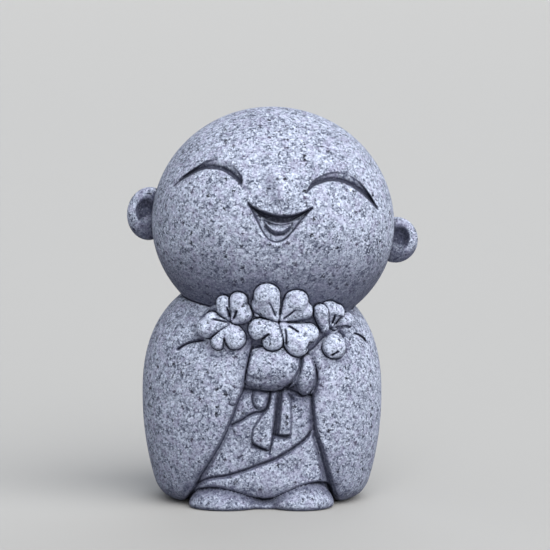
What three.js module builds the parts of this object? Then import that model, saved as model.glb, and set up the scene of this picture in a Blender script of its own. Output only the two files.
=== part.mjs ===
// A small cast-stone figurine of a laughing monk who holds three blossoms to his chest.
//
// The figure is one solid casting, so it is modelled as one closed body. Its form is a function,
// stone(x, y, z), that is negative inside the stone and positive outside it, in millimetres. Rounded
// volumes are joined in that function, and the carving is added to it as a depth, as a chisel
// would cut it. The zero surface is then meshed on a grid, and the triangles that describe
// nothing are merged away, so that the flat places stay coarse and the carved places stay fine.
//
// The frame: +Z is up, the figure faces -Y, +X is to the viewer's right, and the origin lies in
// the middle of the underside, on the ground.

import * as THREE from 'three';

// Driving dimensions, in millimetres unless a comment says otherwise

const bodyHalfWidth = 22.9;
const bodyHalfDepth = 17.8;
const bellyHeight = 20; // level at which the body is widest
const shoulderRise = 23.6; // from there to the top of the body, hidden in the head
const hemDrop = 37; // how slowly the robe tapers below the belly
const undersideRounding = 4;

const headHalfWidth = 23.1;
const headHalfDepth = 19.8;
const crownRise = 22.2;
const chinDrop = 20.9;
const headCentreHeight = 52.8;
const headShift = 2.1; // towards +X, because the head leans
const headForward = 1;
const headLean = 6.1; // degrees, the crown towards +X

const earReach = 4.3;
const earHalfThickness = 2.7;
const earHalfHeights = [5.1, 4.4]; // the ear at -X, the ear at +X
const earHollow = 1.9; // radius of the dimple in each ear

const eyelidDepth = 1;
const mouthDepth = 2.3;
const cheekSwell = 0.7;
const noseSwell = 0.9;

const grooveDepth = 0.95;
const grooveHalfWidth = 0.5;
const panelRecess = 1.3; // the robe's front lies this far behind the sleeves
const forearmSwell = 0.5;
const sashHalf = [6.4, 2.7, 4.1]; // half sizes across, back and up
const knotHalf = [2.3, 2.2, 3.5];
const tuftHalf = [1.45, 1.2, 1.8];
const ribbonHeight = 0.8;
const ribbonHalfWidth = 1.3;
const footHalf = [7.1, 5.6, 5.3];

const petalReach = 8.1; // from a blossom's middle to the tip of its longest petal
const petalThickness = 1.7;
const bouquetHalf = [14.2, 5.6]; // across and up
const neckFillet = 0.5;
const carvingFillet = 0.3; // where one carved volume meets another

const gridStep = 0.6;
const triangleBudget = 9200;

const bodyHeight = bellyHeight + shoulderRise;

// Carving plan
// Places on the robe are [across, up]: shares of the body's half width and of its height.

const leftSleeveEdge = [
  [-0.06, 0.78], [-0.072, 0.71], [-0.142, 0.536], [-0.245, 0.397],
  [-0.398, 0.228], [-0.547, 0.087], [-0.68, -0.03],
];
const rightSleeveEdge = [
  [0.3, 0.78], [0.367, 0.673], [0.441, 0.59], [0.388, 0.495],
  [0.42, 0.37], [0.478, 0.256], [0.572, 0.081], [0.62, -0.03],
];
const robeWrap = [
  [-0.255, 0.363], [-0.16, 0.395], [-0.07, 0.42], [0.013, 0.427], [0.055, 0.465], [0.066, 0.51],
];
const longFold = [
  [-0.53, 0.1], [-0.437, 0.137], [-0.3, 0.15], [-0.16, 0.174],
  [-0.024, 0.205], [0.112, 0.237], [0.249, 0.283], [0.405, 0.35],
];
const hem = [
  [-0.58, 0.045], [-0.511, 0.078], [-0.391, 0.092], [-0.272, 0.087], [-0.162, 0.071], [-0.071, 0.053],
  [0.067, 0.048], [0.158, 0.061], [0.277, 0.087], [0.387, 0.11], [0.479, 0.112], [0.56, 0.085],
];
const leftForearmCrease = [[-0.69, 0.68], [-0.6, 0.715], [-0.505, 0.735], [-0.4, 0.74]];
const rightForearmCrease = [[0.7, 0.76], [0.783, 0.74], [0.875, 0.697]];

// Each stroke's depth is a share of the groove depth.
const frontStrokes = [
  { path: leftSleeveEdge, depth: 1 },
  { path: rightSleeveEdge, depth: 1 },
  { path: robeWrap, depth: 0.75 },
  { path: longFold, depth: 0.75 },
  { path: hem, depth: 0.9 },
  { path: leftForearmCrease, depth: 0.9 },
  { path: rightForearmCrease, depth: 0.9 },
];
// Plain sleeve seams at the back, one a mirror image of the other.
const backSeam = [[0.42, 0.74], [0.5, 0.5], [0.62, 0.22], [0.66, 0.03]];
const backStrokes = [-1, 1].map((side) => ({
  path: backSeam.map(([across, up]) => [side * across, up]),
  depth: 0.5,
}));

// Ribbon ends: the middle line, with shares of the ribbon's half width at its top and its foot.
const ribbons = [
  { from: [0.11, 0.52], to: [-0.015, 0.283], widths: [0.73, 1.04] },
  { from: [0.187, 0.52], to: [0.185, 0.338], widths: [0.7, 0.92] },
];
// Rounded volumes on the robe: the middle, and how far it is sunk behind the body's front, as a
// share of the volume's half depth.
const rolls = [
  { at: [0.088, 0.615], half: sashHalf, sunk: 0.33 },
  { at: [0.352, 0.585], half: knotHalf, sunk: 0.32 },
  { at: [-0.006, 0.468], half: tuftHalf, sunk: 0.87 },
];
// Each foot's place across, and its size as shares of the foot's half sizes.
const feet = [
  { across: -0.292, size: [1.03, 1, 0.94] },
  { across: 0.328, size: [0.97, 1, 1.07] },
];
// Blossoms: the middle, then one row for each petal: its direction in degrees, its reach and half
// width as shares of the petal reach, and its lift as a share of the petal thickness.
const blossoms = [
  {
    at: [-0.238, 0.814],
    petals: [
      [168, 0.69, 0.15, 0], [192, 0.81, 0.25, 0.1], [236, 0.78, 0.17, 0], [277, 0.65, 0.25, 0.3],
      [95, 0.57, 0.1, 0], [112, 0.64, 0.15, 0.1], [65, 0.77, 0.22, 0.3], [31, 0.53, 0.21, 0.5],
    ],
  },
  {
    at: [0.571, 0.791],
    petals: [
      [5, 0.47, 0.17, -0.4], [-40, 0.64, 0.16, -0.2], [274, 0.74, 0.28, 0.25],
      [82, 0.69, 0.26, 0], [124, 0.62, 0.19, 0.35],
    ],
  },
  {
    at: [0.145, 0.817],
    petals: [
      [200, 0.7, 0.25, 0.3], [-102, 0.72, 0.235, 0.35], [-60, 0.9, 0.3, 0.35],
      [-25, 0.975, 0.22, 0.2], [43, 0.925, 0.38, 0.25], [110, 1, 0.3, 0.35],
    ],
  },
];

// Helpers

const clamp = THREE.MathUtils.clamp;
const bell = (t) => Math.exp(-t * t);

// From 0 to 1 as t goes from one value to another, with soft ends.
function smooth(from, to, t) {
  const s = clamp((t - from) / (to - from), 0, 1);
  return s * s * (3 - 2 * s);
}

// The union of two solids, with a fillet about as wide as `soft`.
function join(a, b, soft) {
  const h = Math.max(soft - Math.abs(a - b), 0) / soft;
  return Math.min(a, b) - (h * h * soft) / 4;
}

// An ellipsoid, as a near distance.
function ellipsoid(x, y, z, [a, b, c]) {
  const k = Math.hypot(x / a, y / b, z / c);
  return (k * (k - 1)) / Math.max(Math.hypot(x / (a * a), y / (b * b), z / (c * c)), 1e-6);
}

// A coordinate across a volume that is stretched backwards by `root`, so that nothing is undercut.
const stretched = (t, root) => t - clamp(t, 0, root);

// An egg: its plan is a superellipse, and it rises `above` and drops `below` its widest level.
const planPower = 2.3;
function planSize(x, y, [a, b]) {
  return (Math.abs(x / a) ** planPower + Math.abs(y / b) ** planPower) ** (1 / planPower);
}
function egg(x, y, z, half, above, below, topPower) {
  const level = Math.abs(z) / (z > 0 ? above : below);
  const power = z > 0 ? topPower : 2;
  const k = (planSize(x, y, half) ** power + level ** power) ** (1 / power);
  return Math.hypot(x, y, z) * (1 - 1 / Math.max(k, 1e-6));
}

// A smooth line through a few places on the robe.
const robePoint = ([across, up]) => new THREE.Vector2(across * bodyHalfWidth, up * bodyHeight);
const robeLine = (path) => new THREE.SplineCurve(path.map(robePoint)).getPoints(5 * (path.length - 1));

// Distance from (x, z) to a line, and how far along it the nearest point lies, from 0 to 1.
function nearLine(line, x, z) {
  let gap = Infinity;
  let along = 0;
  for (let i = 1; i < line.length; i++) {
    const from = line[i - 1];
    const dx = line[i].x - from.x;
    const dz = line[i].y - from.y;
    const t = clamp(((x - from.x) * dx + (z - from.y) * dz) / (dx * dx + dz * dz), 0, 1);
    const here = Math.hypot(x - from.x - t * dx, z - from.y - t * dz);
    if (here < gap) {
      gap = here;
      along = (i - 1 + t) / (line.length - 1);
    }
  }
  return { gap, along };
}

// Where a line that runs down the robe crosses the height z.
function crossing(line, z) {
  const i = Math.max(1, line.findIndex((p) => p.y <= z));
  const t = clamp((z - line[i].y) / (line[i - 1].y - line[i].y), 0, 1);
  return THREE.MathUtils.lerp(line[i].x, line[i - 1].x, t);
}

// The body

const bodyHalf = [bodyHalfWidth, bodyHalfDepth];
const bodyEgg = (x, y, z) => egg(x, y, z - bellyHeight, bodyHalf, shoulderRise, hemDrop, 2.4);

// How far from the plain forms the carving reaches, outwards and inwards.
const reliefOut = 0.3 * bodyHalfDepth;
const reliefIn = 0.2 * bodyHalfDepth;

// From 0 at the body's sides to 1 over its front.
const facing = (y, halfDepth) => smooth(-0.06 * halfDepth, -0.28 * halfDepth, y);

// The first place where a line of sight along +Y, at (x, z), meets a volume.
function frontOf(volume, x, z) {
  let y = -2 * bodyHalfDepth;
  for (let i = 0; i < 60 && y < 0; i++) {
    const gap = volume(x, y, z);
    if (gap < 0.01) return y;
    y += gap * 0.8;
  }
  return y;
}

function carvedLine({ path, depth }) {
  const line = robeLine(path);
  const box = new THREE.Box2().setFromPoints(line).expandByScalar(7 * grooveHalfWidth);
  return { line, box, depth: depth * grooveDepth };
}
const carvedFront = frontStrokes.map(carvedLine);
const carvedBack = backStrokes.map(carvedLine);
const [leftEdge, rightEdge] = carvedFront.map((s) => s.line);

// A V-shaped cut with rounded shoulders, which runs out at the ends of its line.
function strokeDepth({ line, box, depth }, x, z) {
  if (x < box.min.x || x > box.max.x || z < box.min.y || z > box.max.y) return 0;
  const { gap, along } = nearLine(line, x, z);
  const ends = smooth(0, 0.06, along) * smooth(1, 0.94, along);
  const cut = bell(gap / grooveHalfWidth) + 0.35 * bell(gap / (4 * grooveHalfWidth));
  return depth * cut * (0.3 + 0.7 * ends);
}

// How far the robe's front lies behind the sleeves.
function panelDepth(x, z) {
  const inside = Math.min(x - crossing(leftEdge, z), crossing(rightEdge, z) - x);
  const edges = smooth(-0.4 * grooveHalfWidth, 1.6 * grooveHalfWidth, inside);
  const underBlossoms = smooth(0.75 * bodyHeight, 0.66 * bodyHeight, z);
  return panelRecess * edges * underBlossoms * (0.55 + 0.45 * smooth(0, bellyHeight, z));
}

// The forearms fill the sleeves below the two creases.
function sleeveSwell(x, z) {
  const forearm = ([across, up]) => {
    const place = robePoint([across, up]);
    return bell((x - place.x) / (0.31 * bodyHalfWidth)) * bell((z - place.y) / (0.126 * bodyHeight));
  };
  return forearmSwell * (forearm([-0.5, 0.62]) + forearm([0.72, 0.6]));
}

// A flat strip with round edges and a square foot.
function ribbonLift({ from, to, widths }, x, z) {
  const top = robePoint(from);
  const strip = robePoint(to).sub(top);
  const length = strip.length();
  strip.normalize();
  const down = (x - top.x) * strip.x + (z - top.y) * strip.y;
  const aside = Math.abs((x - top.x) * strip.y - (z - top.y) * strip.x);
  const halfWidth = ribbonHalfWidth * THREE.MathUtils.lerp(...widths, clamp(down / length, 0, 1));
  const inside = Math.min(halfWidth - aside, length - down);
  return smooth(-0.2 * ribbonHeight, 0.55 * ribbonHeight, inside) * smooth(-2.5 * ribbonHeight, 0, down);
}

const rollPlaces = rolls.map(({ at, half, sunk }) => {
  const { x, y: z } = robePoint(at);
  return { x, y: frontOf(bodyEgg, x, z) + sunk * half[1], z, half };
});
const footPlaces = feet.map(({ across, size }) => ({
  x: across * bodyHalfWidth,
  y: -0.66 * bodyHalfDepth,
  half: footHalf.map((side, i) => side * size[i]),
}));

function body(x, y, z) {
  let d = bodyEgg(x, y, z);
  if (d > reliefOut || d < -reliefIn) return d;
  const front = facing(y, bodyHalfDepth);
  if (front > 0) {
    d += front * (panelDepth(x, z) - sleeveSwell(x, z));
    d -= front * ribbonHeight * Math.max(...ribbons.map((r) => ribbonLift(r, x, z)));
    for (const r of rollPlaces) {
      d = join(d, ellipsoid(x - r.x, stretched(y - r.y, r.half[1]), z - r.z, r.half), carvingFillet);
    }
    for (const f of footPlaces) d = join(d, ellipsoid(x - f.x, y - f.y, z, f.half), carvingFillet);
    for (const s of carvedFront) d += front * strokeDepth(s, x, z);
  }
  const behind = facing(-y, bodyHalfDepth);
  if (behind > 0) {
    for (const s of carvedBack) d += behind * strokeDepth(s, x, z);
  }
  return d;
}

// The head

const lean = THREE.MathUtils.degToRad(headLean);
const leanCos = Math.cos(lean);
const leanSin = Math.sin(lean);

// Head coordinates: u across, v back, w up, about the head's own middle.
function toHead(x, y, z) {
  const dx = x - headShift;
  const dz = z - headCentreHeight;
  return [dx * leanCos - dz * leanSin, y + headForward, dx * leanSin + dz * leanCos];
}

const headEgg = (u, v, w) => egg(u, v, w, [headHalfWidth, headHalfDepth], crownRise, chinDrop, 2);

// Closed laughing eyes: a sharp lower edge along an arch, and a hollow that fades out above it.
function eyeDepth(u, w) {
  const across = Math.abs(u) / headHalfWidth;
  const t = (across - 0.537) / 0.29;
  if (Math.abs(t) >= 1) return 0;
  const arch = 0.468 - 1.68 * (across - 0.494) ** 2;
  const above = w / crownRise - arch;
  const round = Math.sqrt(1 - t * t);
  const hollow = smooth(-0.02, 0.005, above) * smooth(0.022 + 0.086 * round, 0.005, above);
  return eyelidDepth * round * hollow;
}

// The open mouth: deep under the upper lip, with the tongue in it.
function mouthCut(u, w) {
  const halfSpan = 0.268;
  const across = u / headHalfWidth - 0.032;
  const t = Math.abs(across) / halfSpan;
  if (t >= 1.05) return 0;
  const upper = 0.146 + 0.09 * t * t;
  const lower = -0.072 + 0.302 * t ** 1.7;
  const down = (upper - w / crownRise) / Math.max(upper - lower, 0.014);
  const tongue = 0.55 * bell(across / (0.45 * halfSpan)) * bell((down - 0.56) / 0.2);
  const bowl = smooth(-0.06, 0.05, down) * (1 - 0.55 * smooth(0.2, 0.8, down)) * smooth(1.08, 0.88, down);
  return mouthDepth * bowl * (1 - tongue) * smooth(1.05, 0.8, t);
}

function faceCarving(u, w) {
  const across = u / headHalfWidth;
  const up = w / crownRise;
  const cheeks = bell((Math.abs(across) - 0.5) / 0.37) * bell((up - 0.16) / 0.29);
  const nose = bell((across - 0.02) / 0.18) * bell((up - 0.29) / 0.135);
  return eyeDepth(u, w) + mouthCut(u, w) - cheekSwell * cheeks - noseSwell * nose;
}

// An ear: a round lobe with a dimple in its front.
function ear(u, v, w, side, halfHeight) {
  const du = u - side * (headHalfWidth + 0.12 * earReach);
  const dv = v - 0.45 * earHalfThickness;
  const dw = w + 0.034 * crownRise;
  const lobe = ellipsoid(du, dv, dw, [earReach, earHalfThickness, halfHeight]);
  const half = [earHollow, 0.6 * earHalfThickness, 1.15 * earHollow];
  const dimple = ellipsoid(du - side * 0.14 * earReach, dv + earHalfThickness, dw - 0.18 * halfHeight, half);
  return -join(-lobe, dimple, 0.4 * earHollow);
}

function head(x, y, z) {
  const [u, v, w] = toHead(x, y, z);
  let d = headEgg(u, v, w);
  if (d > 2.2 * earReach || d < -reliefIn) return d;
  const front = facing(v, headHalfDepth);
  if (front > 0) d += front * faceCarving(u, w);
  d = join(d, ear(u, v, w, -1, earHalfHeights[0]), carvingFillet);
  return join(d, ear(u, v, w, 1, earHalfHeights[1]), carvingFillet);
}

// The blossoms

// A wall of stone behind the blossoms fills the hollow of the neck: an upright shell with the plan
// of the chest, cut to an oval round the bouquet.
const wallHalf = [0.83 * bodyHalfWidth, 0.9 * bodyHalfDepth];
function wallDepth(x) {
  return wallHalf[1] * Math.max(0, 1 - Math.abs(x / wallHalf[0]) ** planPower) ** (1 / planPower);
}
const bouquetCentre = robePoint([0.14, 0.828]);

function backing(x, y, z) {
  const wall = Math.hypot(x, y) * (1 - 1 / Math.max(planSize(x, y, wallHalf), 1e-6));
  const oval = Math.hypot((x - bouquetCentre.x) / bouquetHalf[0], (z - bouquetCentre.y) / bouquetHalf[1]);
  return -join(-wall, -bouquetHalf[1] * (oval - 1), petalThickness);
}

// What a petal at (x, z) rests on: the chest, the chin or the wall.
const headFront = (x, y, z) => headEgg(...toHead(x, y, z));
const restFront = (x, z) => Math.min(frontOf(bodyEgg, x, z), frontOf(headFront, x, z), -wallDepth(x));

// Each petal is an ellipsoid that lies from the blossom's middle out to its tip.
function makePetal(middle, [degrees, reach, halfWidth, lift]) {
  const angle = THREE.MathUtils.degToRad(degrees);
  const outwards = new THREE.Vector3(Math.cos(angle), 0, Math.sin(angle));
  const tip = outwards.multiplyScalar(reach * petalReach).add(middle);
  tip.y = restFront(tip.x, tip.z) - (0.3 + lift) * petalThickness;
  const axis = tip.clone().sub(middle);
  const length = axis.length();
  axis.normalize();
  const aside = new THREE.Vector3().crossVectors(axis, new THREE.Vector3(0, -1, 0)).normalize();
  const out = new THREE.Vector3().crossVectors(aside, axis);
  const centre = middle.clone().addScaledVector(axis, 0.56 * length);
  const half = [0.47 * length, petalThickness, halfWidth * petalReach];
  return { centre, axis, aside, out, length, half };
}

const petals = blossoms.flatMap((blossom) => {
  const { x, y: z } = robePoint(blossom.at);
  const middle = new THREE.Vector3(x, restFront(x, z) - 0.2 * petalThickness, z);
  return blossom.petals.map((row) => makePetal(middle, row));
});

// A petal, with the crease that runs along it from the blossom's middle.
function petal(p, x, y, z) {
  const from = new THREE.Vector3(x, y, z).sub(p.centre);
  const along = from.dot(p.axis);
  const aside = from.dot(p.aside);
  const behind = -from.dot(p.out);
  const widening = 0.9 + 0.6 * smooth(-p.half[0], p.half[0], along);
  const d = ellipsoid(along, stretched(behind, 2 * petalThickness), aside / widening, p.half);
  const crease = smooth(0.25, -0.1, along / p.length) * bell(aside / (0.24 * petalThickness));
  return d + 0.3 * petalThickness * crease * smooth(0.12, -0.35, behind / petalThickness);
}

// The whole stone

function stone(x, y, z) {
  let d = join(body(x, y, z), head(x, y, z), neckFillet);
  const besideBouquet = Math.abs(x - bouquetCentre.x) - 1.5 * bouquetHalf[0];
  const aboveBouquet = Math.abs(z - bouquetCentre.y) - 2 * bouquetHalf[1];
  if (y < -0.22 * bodyHalfDepth && besideBouquet < 0 && aboveBouquet < 0 && Math.abs(d) < 1.5 * reliefOut) {
    d = join(d, backing(x, y, z), neckFillet);
    for (const p of petals) d = join(d, petal(p, x, y, z), 0.4 * carvingFillet);
  }
  return -join(-d, z, undersideRounding);
}

// Meshing

// A cell's corners are numbered 0 to 7: bit 0 is a step in x, bit 1 in y and bit 2 in z.
const cellCorners = [0, 1, 2, 3, 4, 5, 6, 7].map((c) => [c & 1, (c >> 1) & 1, c >> 2]);
const cellEdges = cellCorners.flatMap((_, c) =>
  [1, 2, 4].filter((bit) => !(c & bit)).map((bit) => [c, c | bit]),
);

// Whether a cell holds one plain piece of surface: its inside corners hang together along its
// edges, and so do its outside corners.
const isPlain = Array.from({ length: 256 }, (_, mask) =>
  [mask, 255 - mask].every((side) => {
    let reached = side & -side;
    for (let round = 0; round < 8; round++) {
      for (const [a, b] of cellEdges) {
        const both = (1 << a) | (1 << b);
        if (reached & both) reached |= both & side;
      }
    }
    return reached === side;
  }),
);

// A net with one point for each grid cell that the surface runs through.
function meshField(field, low, high, step) {
  const [nx, ny, nz] = low.map((from, i) => Math.ceil((high[i] - from) / step) + 1);
  const strides = [1, nx, nx * ny];
  const value = new Float32Array(nx * ny * nz);
  for (let n = 0; n < value.length; n++) {
    const i = n % nx, j = Math.floor(n / nx) % ny, k = Math.floor(n / (nx * ny));
    value[n] = field(low[0] + i * step, low[1] + j * step, low[2] + k * step);
  }
  const offsets = cellCorners.map(([a, b, c]) => a + nx * (b + ny * c));
  const maskOf = (cell) => offsets.reduce((mask, offset, c) => mask | ((value[cell + offset] < 0) << c), 0);
  const surfaceCells = () => {
    const cells = [];
    for (let k = 0; k < nz - 1; k++) {
      for (let j = 0; j < ny - 1; j++) {
        for (let i = 0; i < nx - 1; i++) {
          const cell = i + nx * (j + ny * k), mask = maskOf(cell);
          if (mask > 0 && mask < 255) cells.push(cell);
        }
      }
    }
    return cells;
  };

  // Cracks too narrow for the grid are filled, corner by corner, until every cell is plain. The
  // corner with the most inside neighbours goes first, and then the one nearest the surface.
  const fillWorth = (cell, mask, c) => {
    const neighbours = [1, 2, 4].filter((bit) => (mask >> (c ^ bit)) & 1).length;
    return 100 * neighbours - value[cell + offsets[c]];
  };
  const fillOne = (cell, mask) => {
    const outside = [0, 1, 2, 3, 4, 5, 6, 7].filter((c) => !((mask >> c) & 1));
    const best = outside.reduce((a, b) => (fillWorth(cell, mask, b) > fillWorth(cell, mask, a) ? b : a));
    value[cell + offsets[best]] = -0.2 * step;
  };
  let cells = surfaceCells();
  for (let tangled = cells; tangled.length; ) {
    tangled = cells.filter((cell) => !isPlain[maskOf(cell)]);
    for (const cell of tangled) {
      const mask = maskOf(cell);
      if (!isPlain[mask]) fillOne(cell, mask);
    }
    cells = surfaceCells();
  }

  const points = [], pointOf = new Int32Array(value.length).fill(-1);
  for (const cell of cells) {
    const mask = maskOf(cell);
    const sum = [0, 0, 0];
    let count = 0;
    for (const [a, b] of cellEdges) {
      if (((mask >> a) & 1) === ((mask >> b) & 1)) continue;
      const from = value[cell + offsets[a]], to = value[cell + offsets[b]];
      const t = from / (from - to);
      sum.forEach((_, n) => (sum[n] += cellCorners[a][n] * (1 - t) + cellCorners[b][n] * t));
      count++;
    }
    pointOf[cell] = points.length;
    const place = [cell % nx, Math.floor(cell / nx) % ny, Math.floor(cell / (nx * ny))];
    points.push(new THREE.Vector3(...place.map((n, i) => low[i] + (n + sum[i] / count) * step)));
  }

  const faces = [];
  for (const cell of cells) {
    for (let n = 0; n < 3; n++) {
      const inside = value[cell] < 0;
      if (inside === value[cell + strides[n]] < 0) continue;
      const p = strides[(n + 1) % 3], q = strides[(n + 2) % 3];
      const ring = [cell - p - q, cell - q, cell, cell - p].map((c) => pointOf[c]);
      if (!inside) ring.reverse();
      const [a, b, c, d] = ring;
      const acrossAC = points[a].distanceTo(points[c]) < points[b].distanceTo(points[d]);
      if (acrossAC) faces.push([a, b, c], [a, c, d]);
      else faces.push([b, c, d], [b, d, a]);
    }
  }
  return { points, faces };
}

// Simplifying

// The smallest of the numbers that were put in comes out first.
class Queue {
  items = [];
  push(item) {
    const a = this.items;
    a.push(item);
    for (let i = a.length - 1; i > 0; ) {
      const up = (i - 1) >> 1;
      if (a[up].cost <= a[i].cost) break;
      [a[up], a[i]] = [a[i], a[up]];
      i = up;
    }
  }
  pop() {
    const a = this.items, first = a[0], last = a.pop();
    if (a.length) {
      a[0] = last;
      for (let i = 0; ; ) {
        let least = i;
        for (const child of [2 * i + 1, 2 * i + 2]) {
          if (child < a.length && a[child].cost < a[least].cost) least = child;
        }
        if (least === i) break;
        [a[least], a[i]] = [a[i], a[least]];
        i = least;
      }
    }
    return first;
  }
}

// Merges the pairs of points that change the surface least, measured by the planes of the
// triangles round them, until so few triangles are left. The surface stays closed.
function simplify({ points: place, faces }, budget) {
  const round = place.map(() => new Set());
  faces.forEach((face, f) => face.forEach((v) => round[v].add(f)));
  const normalOf = (a, b, c) => b.clone().sub(a).cross(c.clone().sub(a));
  const planes = place.map(() => new Float64Array(10));
  for (const [a, b, c] of faces) {
    const n = normalOf(place[a], place[b], place[c]);
    const area = n.length() / 2;
    n.normalize();
    const d = -n.dot(place[a]), p = [n.x, n.y, n.z, d];
    const square = [];
    for (let i = 0; i < 4; i++) for (let j = i; j < 4; j++) square.push(p[i] * p[j] * area);
    for (const v of [a, b, c]) square.forEach((s, i) => (planes[v][i] += s));
  }
  const error = (q, r, { x, y, z }) => {
    const s = (i) => q[i] + r[i];
    return s(0) * x * x + s(4) * y * y + s(7) * z * z + s(9) +
      2 * (s(1) * x * y + s(2) * x * z + s(5) * y * z + s(3) * x + s(6) * y + s(8) * z);
  };
  const stamp = new Int32Array(place.length);
  const queue = new Queue();
  const offer = (a, b) => {
    let best = null;
    for (const t of [0.5, 0, 1, 0.25, 0.75]) {
      const to = place[a].clone().lerp(place[b], t);
      const cost = error(planes[a], planes[b], to) + 1e-5 * place[a].distanceToSquared(place[b]);
      if (!best || cost < best.cost) best = { cost, to };
    }
    queue.push({ ...best, a, b, when: stamp[a] + stamp[b] });
  };
  const ringOf = (v) => {
    const ring = new Set();
    for (const f of round[v]) for (const w of faces[f]) if (w !== v) ring.add(w);
    return ring;
  };
  place.forEach((_, v) => ringOf(v).forEach((w) => v < w && offer(v, w)));

  // A merge may not turn a triangle over or leave it a sliver.
  const spoils = (v, other, to) => {
    for (const f of round[v]) {
      const face = faces[f];
      if (face.includes(other)) continue;
      const before = face.map((w) => place[w]);
      const after = face.map((w) => (w === v ? to : place[w]));
      const n = normalOf(...after), size = n.length();
      const longest = Math.max(...after.map((corner, i) => corner.distanceTo(after[(i + 1) % 3])));
      if (size < 0.09 * longest * longest) return true;
      if (n.dot(normalOf(...before).normalize()) < 0.35 * size) return true;
    }
    return false;
  };

  let left = faces.length;
  while (left > budget && queue.items.length) {
    const { a, b, to, when } = queue.pop();
    if (!round[a].size || !round[b].size || when !== stamp[a] + stamp[b]) continue;
    const ringB = ringOf(b), shared = [...ringOf(a)].filter((v) => ringB.has(v));
    if (shared.length !== 2 || spoils(a, b, to) || spoils(b, a, to)) continue;
    place[a] = to;
    for (const f of round[b]) {
      const face = faces[f];
      if (face.includes(a)) {
        face.forEach((v) => round[v].delete(f));
        left--;
      } else {
        face[face.indexOf(b)] = a;
        round[a].add(f);
      }
    }
    round[b].clear();
    planes[b].forEach((s, i) => (planes[a][i] += s));
    stamp[a]++;
    for (const w of ringOf(a)) offer(a, w);
  }
  const kept = new Map();
  const keptFaces = faces.filter((face, f) => round[face[0]].has(f));
  keptFaces.flat().forEach((v) => kept.has(v) || kept.set(v, kept.size));
  return {
    places: [...kept.keys()].map((v) => place[v]),
    faces: keptFaces.map((face) => face.map((v) => kept.get(v))),
  };
}

// The casting

function castStone() {
  // The ground runs through the middle of a layer of cells, so that the underside comes out flat.
  const margin = 3 * gridStep;
  const halfWidth = headHalfWidth + 2 * earReach + margin;
  const frontReach = Math.max(bodyHalfDepth, headHalfDepth + headForward) + 3 * petalThickness + margin;
  const backReach = Math.max(bodyHalfDepth, headHalfDepth - headForward) + margin;
  const top = headCentreHeight + 1.1 * crownRise + margin;
  const low = [headShift - halfWidth, -frontReach, -2.5 * gridStep];
  const high = [headShift + halfWidth, backReach, top];
  const { places, faces } = simplify(meshField(stone, low, high, gridStep), triangleBudget);
  const geometry = new THREE.BufferGeometry().setFromPoints(places);
  geometry.setIndex(faces.flat());
  geometry.computeVertexNormals();
  return geometry;
}

const castStoneFinish = new THREE.MeshStandardMaterial({ color: 0x8d95a3, roughness: 0.92, metalness: 0 });

const figurine = new THREE.Mesh(castStone(), castStoneFinish);
figurine.name = 'monk_figurine';

const model = new THREE.Group();
model.add(figurine);

export default model;
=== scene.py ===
# %% [markdown]
# # A laughing monk in cast stone
# The figurine is 75 mm tall and cast in one piece from crushed stone and cement. A sculptor carved
# the original; every copy comes out of a mould with soft edges, small air pits and a speckled skin,
# and a thin dark wash is wiped over it so that it stays only in the carving. Here the colour also
# holds painted light: the carving, the undersides and the sheltered places are darkened with
# painted shade where shade falls, and the petals are painted paler where light falls on them.
#
# The frame holds the plain casting that was packed for physics. This script replaces it with the
# same form carved finer, then gives it its stone.

# %% The frame
import math

import bpy
import numpy as np
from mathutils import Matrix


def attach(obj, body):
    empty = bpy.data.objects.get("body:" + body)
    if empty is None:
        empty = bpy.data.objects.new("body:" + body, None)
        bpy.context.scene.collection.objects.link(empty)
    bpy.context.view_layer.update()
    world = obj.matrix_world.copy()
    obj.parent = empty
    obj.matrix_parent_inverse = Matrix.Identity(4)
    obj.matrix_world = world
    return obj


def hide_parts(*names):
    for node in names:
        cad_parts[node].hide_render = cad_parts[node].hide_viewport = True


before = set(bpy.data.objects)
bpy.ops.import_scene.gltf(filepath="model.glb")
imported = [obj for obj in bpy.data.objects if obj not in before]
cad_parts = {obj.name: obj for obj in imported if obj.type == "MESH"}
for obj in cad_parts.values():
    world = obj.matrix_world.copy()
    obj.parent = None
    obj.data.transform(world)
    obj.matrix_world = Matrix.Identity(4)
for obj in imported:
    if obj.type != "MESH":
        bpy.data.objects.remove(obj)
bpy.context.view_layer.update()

import openvdb as vdb
from mathutils import Vector

MM = 0.001

# %% [markdown]
# ## The camera
# The picture was taken from a little above the figurine's chest, with a long lens and from straight
# in front. A long lens keeps the big head from looking bigger still. The camera comes first, so
# that every later step can be judged from the right place.

# %% The camera
CAMERA_DISTANCE = 0.6
CAMERA_ELEVATION = math.radians(6)
AIM = Vector((2.495, 0, 42.79)) * MM
LENS = 205.4

camera_data = bpy.data.cameras.new("camera")
camera_data.lens = LENS
camera_data.sensor_width = 36
camera_data.clip_start = 0.01
camera = bpy.data.objects.new("camera", camera_data)
bpy.context.scene.collection.objects.link(camera)
towards_camera = Vector((0, -math.cos(CAMERA_ELEVATION), math.sin(CAMERA_ELEVATION)))
camera.location = AIM + CAMERA_DISTANCE * towards_camera
camera.rotation_euler = (-towards_camera).to_track_quat("-Z", "Y").to_euler()
bpy.context.scene.camera = camera
print("camera at", [round(c, 3) for c in camera.location])

# %% [markdown]
# ## How to carve in code
# Stone is easiest to think of as a volume: every point in space is either inside or outside. A
# function gives each point a number, negative inside and positive outside, in millimetres. Two
# volumes are joined by taking the smaller number, with a small fillet where they meet, and a chisel
# cut adds its depth to the number. Modelling this with a mesh and booleans would leave hard seams
# where a cast piece has none.

# %% Joining volumes
def smooth(start, end, t):
    s = np.clip((t - start) / (end - start), 0, 1)
    return s * s * (3 - 2 * s)


def bell(t):
    return np.exp(-t * t)


def join(a, b, fillet):
    h = np.maximum(fillet - np.abs(a - b), 0) / fillet
    return np.minimum(a, b) - h * h * fillet / 4


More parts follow.
